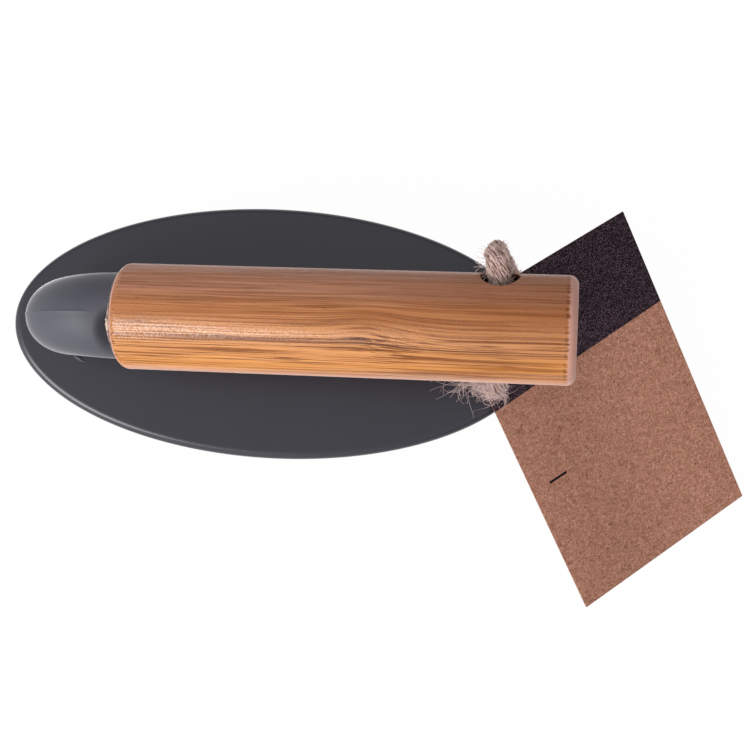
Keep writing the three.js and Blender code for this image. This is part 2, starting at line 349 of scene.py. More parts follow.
hairs = {  # what stands off; a root is a distance from the middle of the twine or of the knot
    "loop": {
        "count": 600, "length": (0.0004, 0.0012), "radius": 0.000035, "curl": 0.25,
        "root": 0.003008, "rise": 0.7, "lie": 0,
    },
    "matted": {
        "count": 700, "length": (0.0007, 0.0015), "radius": 0.00008, "curl": 0.3,
        "root": 0.002944, "rise": 0.1, "lie": 0.6,
    },
    "frayed": {
        "count": 190, "length": (0.0006, 0.0024), "radius": 0.00004, "curl": 0.8,
        "root": 0.003008, "spots": (0, 15), "slant": 1.0, "towards": ((0, 1), (-1.2, 0.6), (0.5, 0.8)),
    },
    "wisp": {
        "count": 10, "length": (0.0070, 0.0150), "radius": 0.000036, "curl": 0.16,
        "rootX": (-0.004, 0.001), "rootY": -0.0036, "rootZ": (-0.002, 0.003),
        "aside": (-0.22, 0.02), "upward": (-0.3, 0.3), "slant": 0.1,
    },
    "knot": {
        "count": 100, "length": (0.0014, 0.0040), "radius": 0.00005, "curl": 0.7,
        "root": 0.0041, "towards": ((0, 1.3), (-0.9, 1), (-0.2, 1)),
    },
    "long": {
        "count": 44, "length": (0.0040, 0.0078), "radius": 0.00005, "curl": 0.5,
        "root": 0.0041, "towards": ((0, 2.4), (-0.9, 1), (-0.2, 1)),
    },
    "stray": {
        "count": 12, "length": (0.0026, 0.0044), "radius": 0.00006, "curl": 0.2,
        "root": 0.0029, "spots": (46, 52), "aside": (-0.2, 0.5), "upward": (-0.2, 0.6), "slant": 0.5,
    },
    "lean": 1.2,
    "turns": (2.0, 6.0),
    "taper": 0.5,
    "steps": 9,
    "seed": 23,
}
juteTones = {  # painted shade: darker below the handle, on the side of the knot
    "tan": shade(156, 124, 114), "pale": shade(196, 168, 160), "paintedLightLevel": shade(218, 194, 188),
    "brown": shade(122, 80, 62), "underHandleShade": shade(66, 51, 47),
    "underHandleShadeAside": (-1.0, -6.0), "underHandleShadeBelow": (78.0, 72.0),
    "hairTan": shade(192, 158, 150), "hairPale": shade(240, 214, 210),
}


def smoothRoute(points, perSpan):
    line = []
    ends = [points[0] * 2 - points[1], *points, points[-1] * 2 - points[-2]]
    for before, start, end, after in zip(ends, ends[1:], ends[2:], ends[3:]):
        for step in range(perSpan):
            t = step / perSpan
            line.append(0.5 * (
                2 * start
                + (end - before) * t
                + (2 * before - 5 * start + 4 * end - after) * t * t
                + (3 * start - before - 3 * end + after) * t ** 3
            ))
    return [*line, points[-1].copy()]


def evenSteps(line, count):
    walked = [0.0]
    for start, end in zip(line, line[1:]):
        walked.append(walked[-1] + (end - start).length)
    spots = []
    place = 0
    for step in range(count + 1):
        goal = walked[-1] * step / count
        while place < len(line) - 2 and walked[place + 1] < goal:
            place += 1
        share = (goal - walked[place]) / (walked[place + 1] - walked[place])
        spots.append(line[place].lerp(line[place + 1], min(share, 1.0)))
    return spots, walked[-1]


def framesAlong(spots):  # a side and a lift at each spot, carried along without twist
    side = Vector((1, 0, 0))
    frames = []
    for place, spot in enumerate(spots):
        ahead = (spots[min(place + 1, len(spots) - 1)] - spots[max(place - 1, 0)]).normalized()
        side = (side - ahead * side.dot(ahead)).normalized()
        frames.append((spot, ahead, side, ahead.cross(side)))
    return frames


def newTubes(name, sides):
    clearPicks()
    curve = bpy.data.curves.new(name, "CURVE")
    curve.dimensions = "3D"
    curve.bevel_depth = 1.0
    curve.bevel_resolution = sides
    curve.use_fill_caps = True
    piece = bpy.data.objects.new(name, curve)
    bpy.context.scene.collection.objects.link(piece)
    return piece


def addTube(piece, points, radii):
    spline = piece.data.splines.new("POLY")
    spline.points.add(len(points) - 1)
    for spot, point, radius in zip(spline.points, points, radii):
        spot.co = (*point, 1)
        spot.radius = radius


def tubesToMesh(piece):
    takeUp(piece)
    bpy.ops.object.convert(target="MESH")
    bpy.ops.object.shade_smooth()
    return settle(piece, piece.name)


def aside(side, lift, angle):
    return side * math.cos(angle) + lift * math.sin(angle)


def layTwine(name, spots, length, scale, seed):
    draw = random.Random(seed)
    piece = newTubes(name, 0)
    frames = framesAlong(spots)
    count = len(frames)
    walks = [length * place / count for place in range(count)]
    strandRadius = twine["strandRadius"] * scale
    for strand in range(twine["strands"]):
        core = []
        for walked, (spot, ahead, side, lift) in zip(walks, frames):
            turns = walked / (twine["lay"] * scale) + strand / twine["strands"]
            core.append(spot + aside(side, lift, math.tau * turns) * twine["strandOffset"] * scale)
        addTube(piece, core, [strandRadius] * count)
        for fibre in range(twine["fibres"]):
            drift = draw.uniform(0, twine["wanderSeeds"])
            line = []
            for walked, middle, (spot, ahead, side, lift) in zip(walks, core, frames):
                place = Vector((walked / twine["wanderLength"], drift, strand * twine["strandSeed"]))
                wander = noise.noise(place)
                turns = fibre / twine["fibres"] - walked / (twine["fibreLay"] * scale)
                angle = math.tau * turns + twine["wanderTurn"] * wander
                reach = strandRadius + twine["fibreWander"] * wander
                line.append(middle + aside(side, lift, angle) * reach)
            thick = []
            for place in range(count):
                vary = noise.noise(Vector((place / twine["thickSteps"], drift, twine["thickSeed"])))
                thick.append(twine["fibreRadius"] * scale * (1 + twine["thickVary"] * vary))
            addTube(piece, line, thick)
    return tubesToMesh(piece)


def addTaper(piece, kind, thick, spotAt):  # a tube that thins out along its way
    shares = [step / (kind["steps"] - 1) for step in range(kind["steps"])]
    radii = [thick * (1 - kind["taper"] * share) for share in shares]
    addTube(piece, [spotAt(share) for share in shares], radii)


def addHair(piece, root, out, along, kind, draw):  # a curling hair
    length = draw.uniform(*kind["length"])
    lean = (out + along * draw.uniform(-hairs["lean"], hairs["lean"])).normalized()
    side = lean.orthogonal().normalized()
    side.rotate(Matrix.Rotation(draw.uniform(0, math.tau), 3, lean))
    lift = lean.cross(side)
    turns = draw.uniform(*hairs["turns"])
    shift = draw.uniform(0, math.tau)

    def spotAt(share):
        turned = shift + turns * share
        sway = side * (math.sin(turned) - math.sin(shift)) + lift * (math.cos(turned) - math.cos(shift))
        return root + (lean * share + sway * kind["curl"] * share) * length

    addTaper(piece, hairs, kind["radius"], spotAt)


def makeTwine():
    points = [hangHole + Vector(point) * mm for point in twine["route"]]
    spots, length = evenSteps(smoothRoute(points, twine["routeSteps"]), twine["steps"])
    return layTwine("hangTwine", spots, length, 1.0, twine["seed"]), spots, length


def makeKnot():
    centre = hangHole + Vector(knot["centre"]) * mm
    turn = Vector(knot["axis"]).to_track_quat("Z", "Y").to_matrix()
    line = []
    for step in range(knot["steps"] + 1):  # an overhand knot's own line
        t = math.tau * step / knot["steps"] + knot["startAngle"]
        spot = Vector((
            (math.sin(t) + 2 * math.sin(2 * t)) * knot["size"],
            (math.cos(t) - 2 * math.cos(2 * t)) * knot["size"],
            -math.sin(3 * t) * knot["rise"],
        ))
        line.append(centre + turn @ spot)
    spots, length = evenSteps(line, knot["steps"])
    return layTwine("twineKnot", spots, length, knot["scale"], twine["seed"] + 1), centre


def makeTail(number, centre):
    draw = random.Random(twine["seed"] + 2 + number)
    ahead = Vector(tails["directions"][number]).normalized()
    side = ahead.orthogonal().normalized()
    lift = ahead.cross(side)
    brushEnd = newTubes(f"twineTail{number + 1}", 0)
    for fibre in range(tails["fibres"]):
        out = aside(side, lift, draw.uniform(0, math.tau))
        reach = math.sqrt(draw.random())
        bow = Vector([draw.uniform(-1, 1) for axis in range(3)]) * tails["curl"]
        wave = Vector([draw.uniform(-1, 1) for axis in range(3)]) * tails["curl"]
        length = tails["length"] * draw.uniform(*tails["lengthShare"])
        thick = tails["fibreRadius"] * draw.uniform(*tails["thickShare"])

        def spotAt(share):
            spread = reach * (tails["root"] + tails["spread"] * share ** 2)
            sway = bow * share * share + wave * share * math.sin(tails["waves"] * share)
            return centre + ahead * (tails["start"] + length * share) + out * spread + sway

        addTaper(brushEnd, tails, thick, spotAt)
    return tubesToMesh(brushEnd)


def makeFuzz(spots, centre):
    draw = random.Random(hairs["seed"])
    frames = framesAlong(spots)
    fuzz = newTubes("twineFuzz", 0)

    def strewn(kind):
        return Vector([draw.gauss(*bias) for bias in kind["towards"]]).normalized()

    def neckwards(kind):
        return Vector((-1, draw.uniform(*kind["aside"]), draw.uniform(*kind["upward"]))).normalized()

    def onLoop(kind):  # standing off, or lying across the lay
        spot, ahead, side, lift = frames[draw.randrange(2, len(frames) - 2)]
        out = aside(side, lift, draw.uniform(0, math.tau))
        over = out * kind["rise"]
        if kind["lie"]:
            over += ahead.cross(out) * draw.uniform(-kind["lie"], kind["lie"])
        return spot + out * kind["root"], over, ahead

    def onSpots(kind):  # over the start of the loop, and by the mouth of the hole
        spot, ahead = frames[draw.randrange(*kind["spots"])][:2]
        out = strewn(kind) if "towards" in kind else neckwards(kind)
        return spot + out * kind["root"], out, ahead * kind["slant"]

    def underEdge(kind):  # below the edge of the handle
        out = neckwards(kind)
        root = Vector((draw.uniform(*kind["rootX"]), kind["rootY"], draw.uniform(*kind["rootZ"])))
        return centre + root, out, out.orthogonal() * kind["slant"]

    def onKnot(kind):
        out = strewn(kind)
        return centre + out * kind["root"], out, out.orthogonal().normalized()

    for name, start in (
        ("loop", onLoop), ("matted", onLoop), ("frayed", onSpots), ("wisp", underEdge),
        ("knot", onKnot), ("long", onKnot), ("stray", onSpots),
    ):
        kind = hairs[name]
        for hair in range(kind["count"]):
            addHair(fuzz, *start(kind), kind, draw)
    return tubesToMesh(fuzz)


def juteFinish():
    jute = Finish("jute", {"Sheen Weight": 0.25, "Sheen Roughness": 0.5})
    spot = jute.place()
    y, z = jute.split(spot)[1:]
    # painted shade: the twine darkens below the handle, on the side of the knot
    underHandleShade = jute.ramp(y, *juteTones["underHandleShadeAside"]) * jute.ramp(z, *juteTones["underHandleShadeBelow"])
    patch = jute.noise(spot, 0.5, 3)
    fibre = jute.noise(spot, 2.6, 4, 0.7)
    colour = jute.layer(
        juteTones, "tan",
        (jute.ramp(patch, 0.35, 0.65), "pale"),
        (jute.ramp(fibre, 0.52, 0.72) * 0.6, "paintedLightLevel"),
        (jute.ramp(fibre, 0.46, 0.30) * 0.6, "brown"),
        (underHandleShade * 0.6, "underHandleShade"),
    )
    return jute.dress(colour=colour, roughness=0.75 + 0.2 * fibre, normal=jute.bump(fibre, 0.4, 0.0002))


def hairFinish():
    hair = Finish("juteHair", {"Roughness": 0.6, "Sheen Weight": 0.3})
    fibre = hair.noise(hair.place(), 0.6, 2)
    colour = hair.layer(juteTones, "hairTan", (hair.ramp(fibre, 0.35, 0.65), "hairPale"))
    return hair.dress(colour=colour)


juteMaterial = juteFinish()
hairMaterial = hairFinish()
twineLoop, twineSpots, twineLength = makeTwine()
twineKnot, knotCentre = makeKnot()
twineTails = [makeTail(number, knotCentre) for number in range(len(tails["directions"]))]
twineFuzz = makeFuzz(twineSpots, knotCentre)
handOver(twineLoop, "brush", "jute", juteMaterial, "twine_loop")
handOver(twineKnot, "brush", "jute", juteMaterial, "twine_knot")
for number, tail in enumerate(twineTails):
    handOver(tail, "brush", "jute", juteMaterial, f"twine_tail_{number + 1}")
handOver(twineFuzz, "brush", "jute", hairMaterial)
print("twine laid,", round(twineLength, 4), "m")


# block: an oval slab with rounded rims and a recess below for the bristles
block = {
    "sides": 220,
    "edge": 0.0021, "edgeSteps": 9,
    "rimLine": 0.0004,
    "recessInset": 0.0047, "recessDepth": 0.0027,
    "flat": 0.999,
}
headLow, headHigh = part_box("head_moulding")
blockMiddle = (headLow + headHigh) / 2
blockHalf = (headHigh - headLow) / 2
blockBottom = headLow.z
blockTop = next(mount for mount in frame["record"]["mounts"] if mount["name"] == "block_top")["pos_m"][2]


def addOval(name, sides, halfX, halfY, low, high):  # a slab round the block's middle
    clearPicks()
    bpy.ops.mesh.primitive_cylinder_add(
        vertices=sides, radius=1, depth=high - low,
        location=(blockMiddle.x, blockMiddle.y, (high + low) / 2),
        scale=(halfX, halfY, 1),
    )
    return settle(bpy.context.object, name)


def makeBlock():
    piece = addOval("scrubBlock", block["sides"], blockHalf.x, blockHalf.y, blockBottom, blockTop)
    editMesh(piece)
    pick(piece, "EDGE", lambda edge: abs(edge.verts[0].co.z - edge.verts[1].co.z) < level)
    bpy.ops.mesh.bevel(offset=block["edge"], segments=block["edgeSteps"])
    whole = block["sides"]
    pick(piece, "FACE", lambda face: face.normal.z > block["flat"] and len(face.verts) >= whole)
    bpy.ops.mesh.inset(thickness=block["rimLine"])
    pick(piece, "FACE", lambda face: face.normal.z < -block["flat"] and len(face.verts) >= whole)
    bpy.ops.mesh.inset(thickness=block["recessInset"] - block["edge"])
    bpy.ops.mesh.extrude_region_move(TRANSFORM_OT_translate={"value": (0, 0, block["recessDepth"])})
    smoothShade(piece, 40)
    return piece


# neck: rises from the block, bends over and ends in a round collar against the handle
neck = {  # foot and bend are half thickness, half width and fullness, which is 2 for a round
    "setback": 0.0232,
    "foot": (0.0148, 0.0090, 2.15),
    "bend": (0.0127, 0.0100, 2.15),
    "collarRadius": 0.0112, "collarLength": 0.0030,
    "flare": 0.0004, "flareHeight": 0.0050,
    "root": 0.0020,
    "reach": 0.0165,
    "height": 0.0343,
    "seatGap": 0.0003,
    "sides": 72,
    "legRings": 8,
    "bendRings": 30,
    "collarRings": 5,
    "seamWidth": 0.00022, "seamHeight": 0.00016, "seamSteps": (-2.4, -1.2, -0.5, 0.5, 1.2, 2.4),
    "seamEnd": 0.0036, "seamEndFade": 0.0030, "seamStart": 0.0245, "seamStartFade": 0.0060,
    "ridgeHeight": 0.0005, "ridgeWidth": 0.0055,
    "scoopDepth": 0.0017, "scoopLength": 0.0070, "scoopTowards": math.pi + 0.32,
    "scoopSpread": 0.50,
}


def neckAngles():  # evenly round, and closer together at the seam along the top
    even = [math.tau * side / neck["sides"] for side in range(neck["sides"])]
    fine = [math.pi + step * neck["seamWidth"] / neck["collarRadius"] for step in neck["seamSteps"]]
    return sorted(even + fine)


def neckStations():  # x, z, heading, what foot and bend have, and the distance from the collar's end
    seat = neck["collarLength"] + neck["seatGap"]
    tilt = handle["tilt"]
    upright = math.pi / 2
    radius = (neck["reach"] - seat * math.cos(tilt)) / (1 - math.sin(tilt))
    bendStart = neck["height"] - seat * math.sin(tilt) - radius * math.cos(tilt)
    foot = Vector(neck["foot"])
    bend = Vector(neck["bend"])
    collar = Vector((neck["collarRadius"], neck["collarRadius"], 2))
    flare = Vector((neck["flare"], neck["flare"], 0))
    far = 1.0
    stations = [(0, -neck["root"], upright, foot + flare, far)]
    for ring in range(neck["legRings"]):
        share = ring / neck["legRings"]
        ease = share * share * (3 - 2 * share)
        spread = (1 - min(bendStart * share / neck["flareHeight"], 1)) ** 2
        stations.append((0, bendStart * share, upright, foot.lerp(bend, ease) + flare * spread, far))
    for ring in range(neck["bendRings"] + 1):
        share = ring / neck["bendRings"]
        angle = (upright - tilt) * share
        x = radius * (1 - math.cos(angle))
        z = bendStart + radius * math.sin(angle)
        left = neck["collarLength"] + radius * (upright - tilt - angle)
        stations.append((x, z, upright - angle, bend.lerp(collar, share), left))
    for ring in range(1, neck["collarRings"] + 1):
        left = neck["collarLength"] * (1 - ring / neck["collarRings"])
        x = neck["reach"] - (neck["seatGap"] + left) * math.cos(tilt)
        z = neck["height"] - (neck["seatGap"] + left) * math.sin(tilt)
        stations.append((x, z, tilt, collar, left))
    return stations


def neckSpot(station, angle):
    x, z, heading, (halfThickness, halfWidth, fullness), left = station
    across = Vector((math.sin(heading), 0, -math.cos(heading)))

    def swell(value):
        return math.copysign(abs(value) ** (2 / fullness), value)

    def within(value):
        return min(max(value, 0), 1)

    offset = across * halfThickness * swell(math.cos(angle))
    offset += Vector((0, halfWidth * swell(math.sin(angle)), 0))
    seam = (angle - math.pi) * neck["collarRadius"] / neck["seamWidth"]
    fade = within((left - neck["seamEnd"]) / neck["seamEndFade"])
    fade *= within((neck["seamStart"] - left) / neck["seamStartFade"])
    lift = neck["seamHeight"] * math.exp(-seam * seam) * fade
    fromSeam = abs(angle - math.pi) * neck["collarRadius"] / neck["ridgeWidth"]
    lift += neck["ridgeHeight"] * math.exp(-fromSeam) * fade
    dip = max(1 - left / neck["scoopLength"], 0) ** 2
    fromScoop = (angle - neck["scoopTowards"]) / neck["scoopSpread"]
    lift -= neck["scoopDepth"] * dip * math.exp(-fromScoop * fromScoop)
    return Vector((x, 0, z)) + offset + offset.normalized() * lift


def makeNeck():
    angles = neckAngles()
    count = len(angles)
    place = Matrix.Translation(
        (blockMiddle.x - blockHalf.x + neck["setback"], blockMiddle.y, blockTop)
    ) @ Matrix.Rotation(handle["yaw"], 4, "Z")
    clearPicks()
    bpy.ops.mesh.primitive_circle_add(vertices=count, radius=neck["collarRadius"], fill_type="NGON")
    piece = settle(bpy.context.object, "neckBend")
    mesh = editMesh(piece)
    bpy.ops.mesh.select_all(action="SELECT")
    start = Vector((neck["collarRadius"], 0, 0))
    for ring, station in enumerate(neckStations()):
        if ring:
            bpy.ops.mesh.extrude_region_move(TRANSFORM_OT_translate={"value": (0, 0, mm)})
            mesh = bmesh.from_edit_mesh(piece.data)
        face = next(face for face in mesh.faces if face.select and len(face.verts) == count)
        first = min(range(count), key=lambda corner: (face.verts[corner].co - start).length)
        order = [face.verts[(first + corner) % count] for corner in range(count)]
        for vert, angle in zip(order, angles):
            vert.co = neckSpot(station, angle)
        start = order[0].co + Vector((0, 0, mm))
        bmesh.update_edit_mesh(piece.data)
    bpy.ops.mesh.select_all(action="SELECT")
    bpy.ops.mesh.normals_make_consistent(inside=False)
    return putDown(piece, place, 60)


# flash: a small wrinkle of plastic beside the foot of the neck, in millimetres on the block's top
flash = {
    "line": [(-60.5, -9.2), (-59.8, -9.9), (-58.8, -10.3), (-57.9, -10.9), (-57.1, -11.1)],
    "radii": (0.10, 0.42, 0.52, 0.36, 0.10),
}


def makeFlash():
    wrinkle = newTubes("neckFlash", 1)
    points = [Vector((x * mm, y * mm, blockTop)) for x, y in flash["line"]]
    addTube(wrinkle, points, [radius * mm for radius in flash["radii"]])
    return tubesToMesh(wrinkle)


slate = {  # heights and places in millimetres
    "plain": shade(31, 31, 41), "cloudy": shade(35, 35, 45), "speck": shade(64, 64, 72),
    "pale": shade(62, 62, 72), "hollowShade": shade(22, 22, 30),
    "paleFrom": 38.6,
    "flashPaleFrom": 35.0,
    "paleRise": 3.4,
    # painted shade: where the scoop by the collar is darkened
    "hollowShadeMiddle": (-40.8, -4.4), "hollowShadeHalf": (3.3, 5.0),
}


def slateFinish(name, sheen, paleFrom):  # paler where it rises off the block, with painted shade in the scoop by the collar
    plastic = Finish(name, {"Specular IOR Level": 0.56, "Sheen Weight": sheen, "Sheen Roughness": 0.2})
    spot = plastic.place()
    cloud = plastic.noise(spot, 0.035, 3)
    grain = plastic.noise(spot, 2.4, 3, 0.6)
    speck = plastic.ramp(plastic.noise(spot, 0.9, 1), 0.73, 0.80)
    x, y, z = plastic.split(spot)
    raised = plastic.ramp(z, paleFrom, paleFrom + slate["paleRise"])
    # painted shade in the scoop by the collar
    fromHollowShade = ((x - slate["hollowShadeMiddle"][0]) / slate["hollowShadeHalf"][0]) ** 2
    fromHollowShade = fromHollowShade + ((y - slate["hollowShadeMiddle"][1]) / slate["hollowShadeHalf"][1]) ** 2
    hollowShade = plastic.ramp(fromHollowShade, 1.8, 0.2) * raised
    colour = plastic.layer(
        slate, "plain",
        (cloud, "cloudy"), (speck * 0.2, "speck"), (raised, "pale"), (hollowShade * 0.8, "hollowShade"),
    )
    roughness = 0.20 + 0.06 * cloud + 0.05 * grain + 0.32 * raised + 0.3 * hollowShade
    return plastic.dress(colour=colour, roughness=roughness, normal=plastic.bump(grain, 0.12, 0.00003))


for piece, name, sheen, paleFrom in (
    (makeBlock(), "slatePlastic", 0.0, slate["paleFrom"]),
    (makeNeck(), "slateNeck", 1.0, slate["paleFrom"]),
    (makeFlash(), "slateFlash", 1.0, slate["flashPaleFrom"]),
):
    handOver(piece, "brush", "head_plastic", slateFinish(name, sheen, paleFrom), "head_moulding")
print("block and neck made")


# bristles: tufts of filaments in four slices of backing
bristles = {
    "inset": 0.005,
    "backing": 0.0024,
    "pitch": 0.0042,
    "margin": 0.002,
    "splay": 1.05,
    "innerRows": 3,
    "sliceGap": 0.0003,
    "kinds": 5,
    "filaments": 11,
    "filamentRadius": 0.00019,
    "tipRadius": 0.00014,
    "rootSpread": 0.00075,
    "tipSpread": 0.00145, "tipWander": 0.0007,
    "goldenTurn": 2.39996,
    "turnWander": 0.2,
    "sunk": 0.0004,
    "filamentSides": 3,
    "backingSides": 160,
    "seed": 5,
    "tip": shade(84, 84, 91), "root": shade(48, 48, 54), "streak": shade(104, 104, 112),
}
rowPitch = bristles["pitch"] * math.sin(math.pi / 3)
fieldX = blockHalf.x - bristles["inset"]
fieldY = blockHalf.y - bristles["inset"]


def makeTuft(draw):  # filaments from the backing down to z = 0
    made = []
    for filament in range(bristles["filaments"]):
        share = math.sqrt((filament + 0.5) / bristles["filaments"])
        wander = draw.uniform(-bristles["turnWander"], bristles["turnWander"])
        angle = filament * bristles["goldenTurn"] + wander
        out = Vector((math.cos(angle), math.sin(angle), 0)) * share
        root = out * bristles["rootSpread"] + Vector((0, 0, blockBottom + bristles["sunk"]))
        tip = out * bristles["tipSpread"] + Vector((0, 0, draw.uniform(0, bristles["tipWander"])))
        line = tip - root
        clearPicks()
        bpy.ops.mesh.primitive_cone_add(
            vertices=bristles["filamentSides"], depth=line.length,
            radius1=bristles["filamentRadius"], radius2=bristles["tipRadius"],
            location=(root + tip) / 2, rotation=line.to_track_quat("Z", "Y").to_euler(),
        )
        made.append(bpy.context.object)
    return joinAll(made, "tuft")


def makeBacking(number, nearY, farY):
    top = blockBottom + bristles["backing"]
    piece = addOval(f"backing{number}", bristles["backingSides"], fieldX, fieldY, blockBottom, top)
    editMesh(piece)
    for cut, keep in ((nearY, 1), (farY, -1)):
        bpy.ops.mesh.select_all(action="SELECT")
        bpy.ops.mesh.bisect(
            plane_co=(0, cut, 0), plane_no=(0, keep, 0), use_fill=True, clear_inner=True, threshold=1e-7
        )
    clearPicks()
    return piece


def makeSlice(number, fromRow, toRow, kinds, draw):
    pitch = bristles["pitch"]
    splay = bristles["splay"]
    gap = bristles["sliceGap"]
    nearY = max(fromRow * rowPitch + gap / 2, -fieldY - gap)
    farY = min(toRow * rowPitch - gap / 2, fieldY + gap)
    made = [makeBacking(number, nearY, farY)]
    for row in range(fromRow, toRow):
        y = (row + 0.5) * rowPitch
        room = 1 - (y / (fieldY - bristles["margin"])) ** 2
        reach = (fieldX - bristles["margin"]) * math.sqrt(max(room, 0)) - pitch / 4
        shift = pitch / 2 if row % 2 else 0
        column = math.ceil((-reach - shift) / pitch)
        while column * pitch + shift <= reach:
            x = column * pitch + shift
            tuft = draw.choice(kinds).copy()
            tuft.data = tuft.data.copy()
            lean = Matrix.Identity(4)
            lean[0][2] = x * (1 - splay) / blockBottom
            lean[1][2] = y * (1 - splay) / blockBottom
            spin = Matrix.Rotation(draw.uniform(0, math.tau), 4, "Z")
            foot = Matrix.Translation((blockMiddle.x + x * splay, blockMiddle.y + y * splay, 0))
            tuft.data.transform(foot @ lean @ spin)
            bpy.context.scene.collection.objects.link(tuft)
            made.append(tuft)
            column += 1
    return joinAll(made, f"bristleField{number}")


def filamentFinish():
    filament = Finish("filament", {"Specular IOR Level": 0.4})
    spot = filament.place()
    height = filament.split(spot)[2]
    streak = filament.noise(filament.stretch(spot, 1.4, 1.4, 0.05), 1.0, 3)
    colour = filament.layer(
        bristles, "tip",
        (filament.ramp(height, 0, blockBottom / mm), "root"),
        (filament.ramp(streak, 0.4, 0.65) * 0.5, "streak"),
    )
    return filament.dress(colour=colour, roughness=0.42 + 0.2 * streak)


def makeBristles():
    draw = random.Random(bristles["seed"])
    kinds = [makeTuft(draw) for kind in range(bristles["kinds"])]
    outerRows = math.ceil(fieldY / rowPitch)
    edges = [-outerRows, -bristles["innerRows"], 0, bristles["innerRows"], outerRows]
    material = filamentFinish()
    for number, (fromRow, toRow) in enumerate(zip(edges, edges[1:]), 1):
        field = makeSlice(number, fromRow, toRow, kinds, draw)
        handOver(field, "brush", "bristle_plastic", material, f"bristles_{number}")
    for tuft in kinds:
        bpy.data.objects.remove(tuft)


makeBristles()
print("bristles set")


# handle: a turned bamboo rod with rounded ends and an inclined cross hole
def makeHandle():
    radius = handle["diameter"] / 2
    holeAt = handle["length"] - handle["holeFromEnd"]
    clearPicks()
    bpy.ops.mesh.primitive_cylinder_add(
        vertices=handle["sides"], radius=radius, depth=handle["length"],
        location=(handle["length"] / 2, 0, 0), rotation=(0, math.pi / 2, 0),
    )
    piece = settle(bpy.context.object, "bambooHandle")
    editMesh(piece)
    pick(piece, "EDGE", lambda edge: abs(edge.verts[0].co.x - edge.verts[1].co.x) < level)
    bpy.ops.mesh.bevel(offset=handle["edge"], segments=handle["edgeSteps"])
    cuts = int(handle["cutReach"] / handle["cutPitch"])
    for cut in range(-cuts, cuts + 1):  # short facets round the hole keep its shading clean
        bpy.ops.mesh.select_all(action="SELECT")
        bpy.ops.mesh.bisect(plane_co=(holeAt + cut * handle["cutPitch"], 0, 0), plane_no=(1, 0, 0))
    clearPicks()
    bpy.ops.mesh.primitive_cylinder_add(
        vertices=handle["holeSides"], radius=handle["holeDiameter"] / 2, depth=3 * handle["diameter"],
        location=(holeAt, 0, 0), rotation=(handle["holeIncline"] - math.pi / 2, 0, 0),
    )
    cutAway(piece, bpy.context.object)
    drilled = Vector((0, math.cos(handle["holeIncline"]), math.sin(handle["holeIncline"])))

    def onMouth(vert):
        fromHole = vert.co - Vector((holeAt, 0, 0))
        across = (fromHole - drilled * fromHole.dot(drilled)).length
        outward = math.hypot(vert.co.y, vert.co.z)
        onBore = abs(across - handle["holeDiameter"] / 2) < handle["onMouth"]
        return onBore and abs(outward - radius) < handle["onMouth"]

    editMesh(piece)
    pick(piece, "EDGE", lambda edge: all(onMouth(vert) for vert in edge.verts))
    bpy.ops.mesh.bevel(offset=handle["holeEdge"], segments=2, clamp_overlap=True)
    return putDown(piece, handlePlace, 35)


bamboo = {  # places in millimetres: a span has two ends, the other pairs are a middle and a width
    "reflectedRose": shade(170, 119, 95), "honey": shade(172, 110, 66), "litGold": shade(210, 144, 88),
    "straw": shade(206, 148, 100), "amber": shade(190, 122, 44), "deep": shade(110, 56, 12),
    "line": shade(84, 36, 5), "inside": shade(26, 10, 5), "flankSheen": shade(216, 172, 158),
    "endGrain": shade(192, 146, 134),
    "nodeAlong": (66, 8), "nodeAcross": (-1.0, 5),
    "eyeAlong": (66, 4.0), "eyeAcross": (-4.4, 2.4),
    "dropSpan": (60.0, 92.0), "dropAcross": (-4.0, 6.0),
    "bandSpan": (20.0, 60.0), "bandAcross": (-5.6, 1.6),
    "duskSpan": (40.0, 110.0),
    "lowFlankSheenSpan": (-12.3, -13.8),
    "highFlankSheenSpan": (12.4, 13.8),
    "boreMiddle": 58.0, "boreSpan": (56.5, 55.5),
    "grainLength": 0.012,
    "glossAcross": (-3.2, 4.6),
    "outer": handle["diameter"] / 2 / mm,
    "tip": (handle["length"] - handle["edge"]) / mm,
}


def near(value, middle, width):
    offset = (value - middle) / width
    return math.e ** (offset * offset * -1.0)


